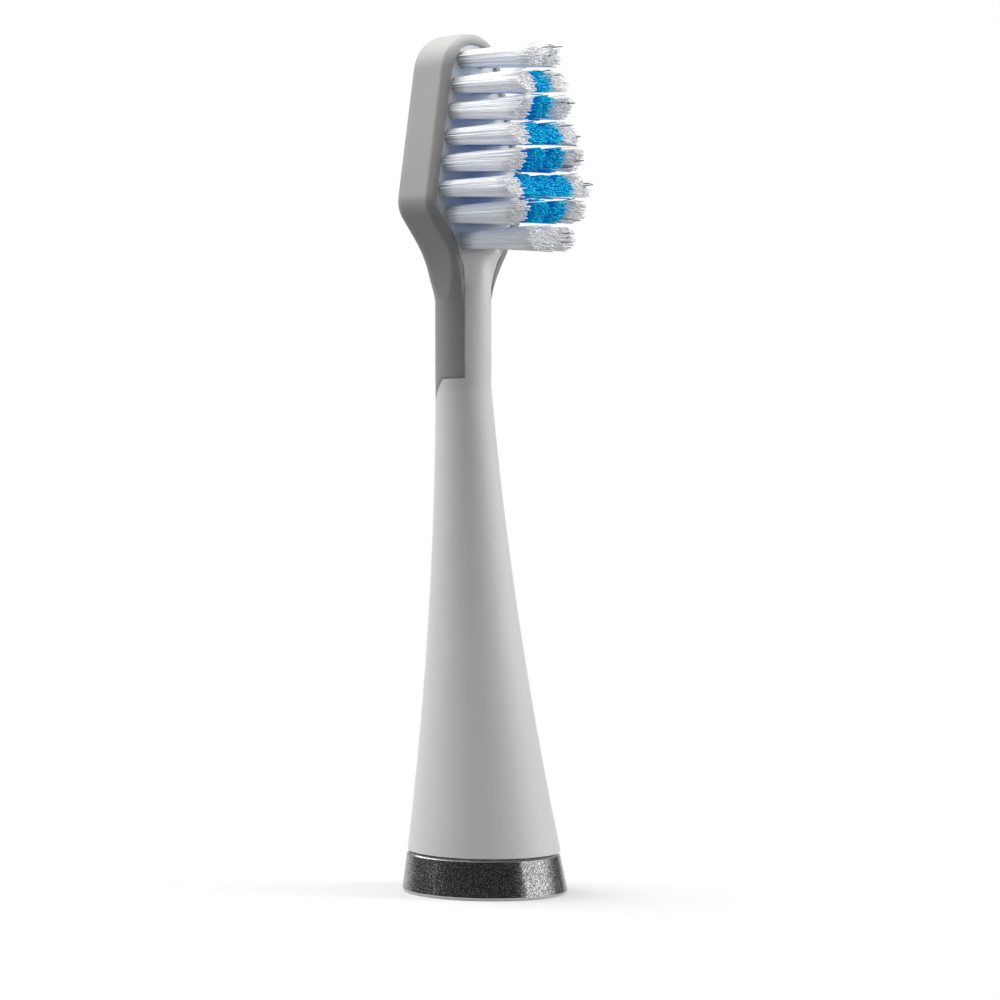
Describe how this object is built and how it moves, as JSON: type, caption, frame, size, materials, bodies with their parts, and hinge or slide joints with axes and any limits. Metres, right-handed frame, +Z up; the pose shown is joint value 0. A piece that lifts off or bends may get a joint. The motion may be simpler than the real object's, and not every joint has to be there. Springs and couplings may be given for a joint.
{
  "type": "electric toothbrush head",
  "caption": "Push-on sonic toothbrush head: hollow tapered skirt on a base ring, slim neck and a shield-shaped head with zigzag-trimmed bristles and a soft back.",
  "frame": {"origin": "where the drive axis meets the standing plane, in the middle of the base ring's foot and within half a millimetre of the middle of the bounding box's bottom", "axes": "+Z up along the standing brush head, bristles towards -Y, the drive axis leaning back towards +Y"},
  "size_m": [0.0164, 0.0173, 0.0853],
  "materials": {
    "white_plastic": "glossy white moulding",
    "soft_grey": "soft satin grey elastomer",
    "ring_metallic": "dark metallic flake",
    "socket_plastic": "plain natural moulding",
    "spring_steel": "spring steel strip",
    "anchor_brass": "plain drawn wire",
    "white_bristle": "translucent white filaments",
    "blue_bristle": "translucent blue filaments"
  },
  "bodies": {
    "root": {"brush_body": "white_plastic", "back_overmould": "soft_grey", "base_ring": "ring_metallic", "drive_socket": "socket_plastic", "shaft_spring": "spring_steel", "tuft_anchors": "anchor_brass", "tuft_1_1": "white_bristle", "tuft_1_2": "white_bristle", "tuft_2_1": "white_bristle", "tuft_2_2": "blue_bristle", "tuft_2_3": "white_bristle", "tuft_3_1": "white_bristle", "tuft_3_2": "blue_bristle", "tuft_3_3": "white_bristle", "tuft_4_1": "white_bristle", "tuft_4_2": "blue_bristle", "tuft_4_3": "blue_bristle", "tuft_4_4": "white_bristle", "tuft_5_1": "white_bristle", "tuft_5_2": "blue_bristle", "tuft_5_3": "blue_bristle", "tuft_5_4": "white_bristle", "tuft_6_1": "white_bristle", "tuft_6_2": "blue_bristle", "tuft_6_3": "blue_bristle", "tuft_6_4": "blue_bristle", "tuft_6_5": "white_bristle", "tuft_7_1": "white_bristle", "tuft_7_2": "blue_bristle", "tuft_7_3": "blue_bristle", "tuft_7_4": "white_bristle", "tuft_8_1": "white_bristle", "tuft_8_2": "white_bristle", "tuft_8_3": "white_bristle"}
  },
  "joints": []
}
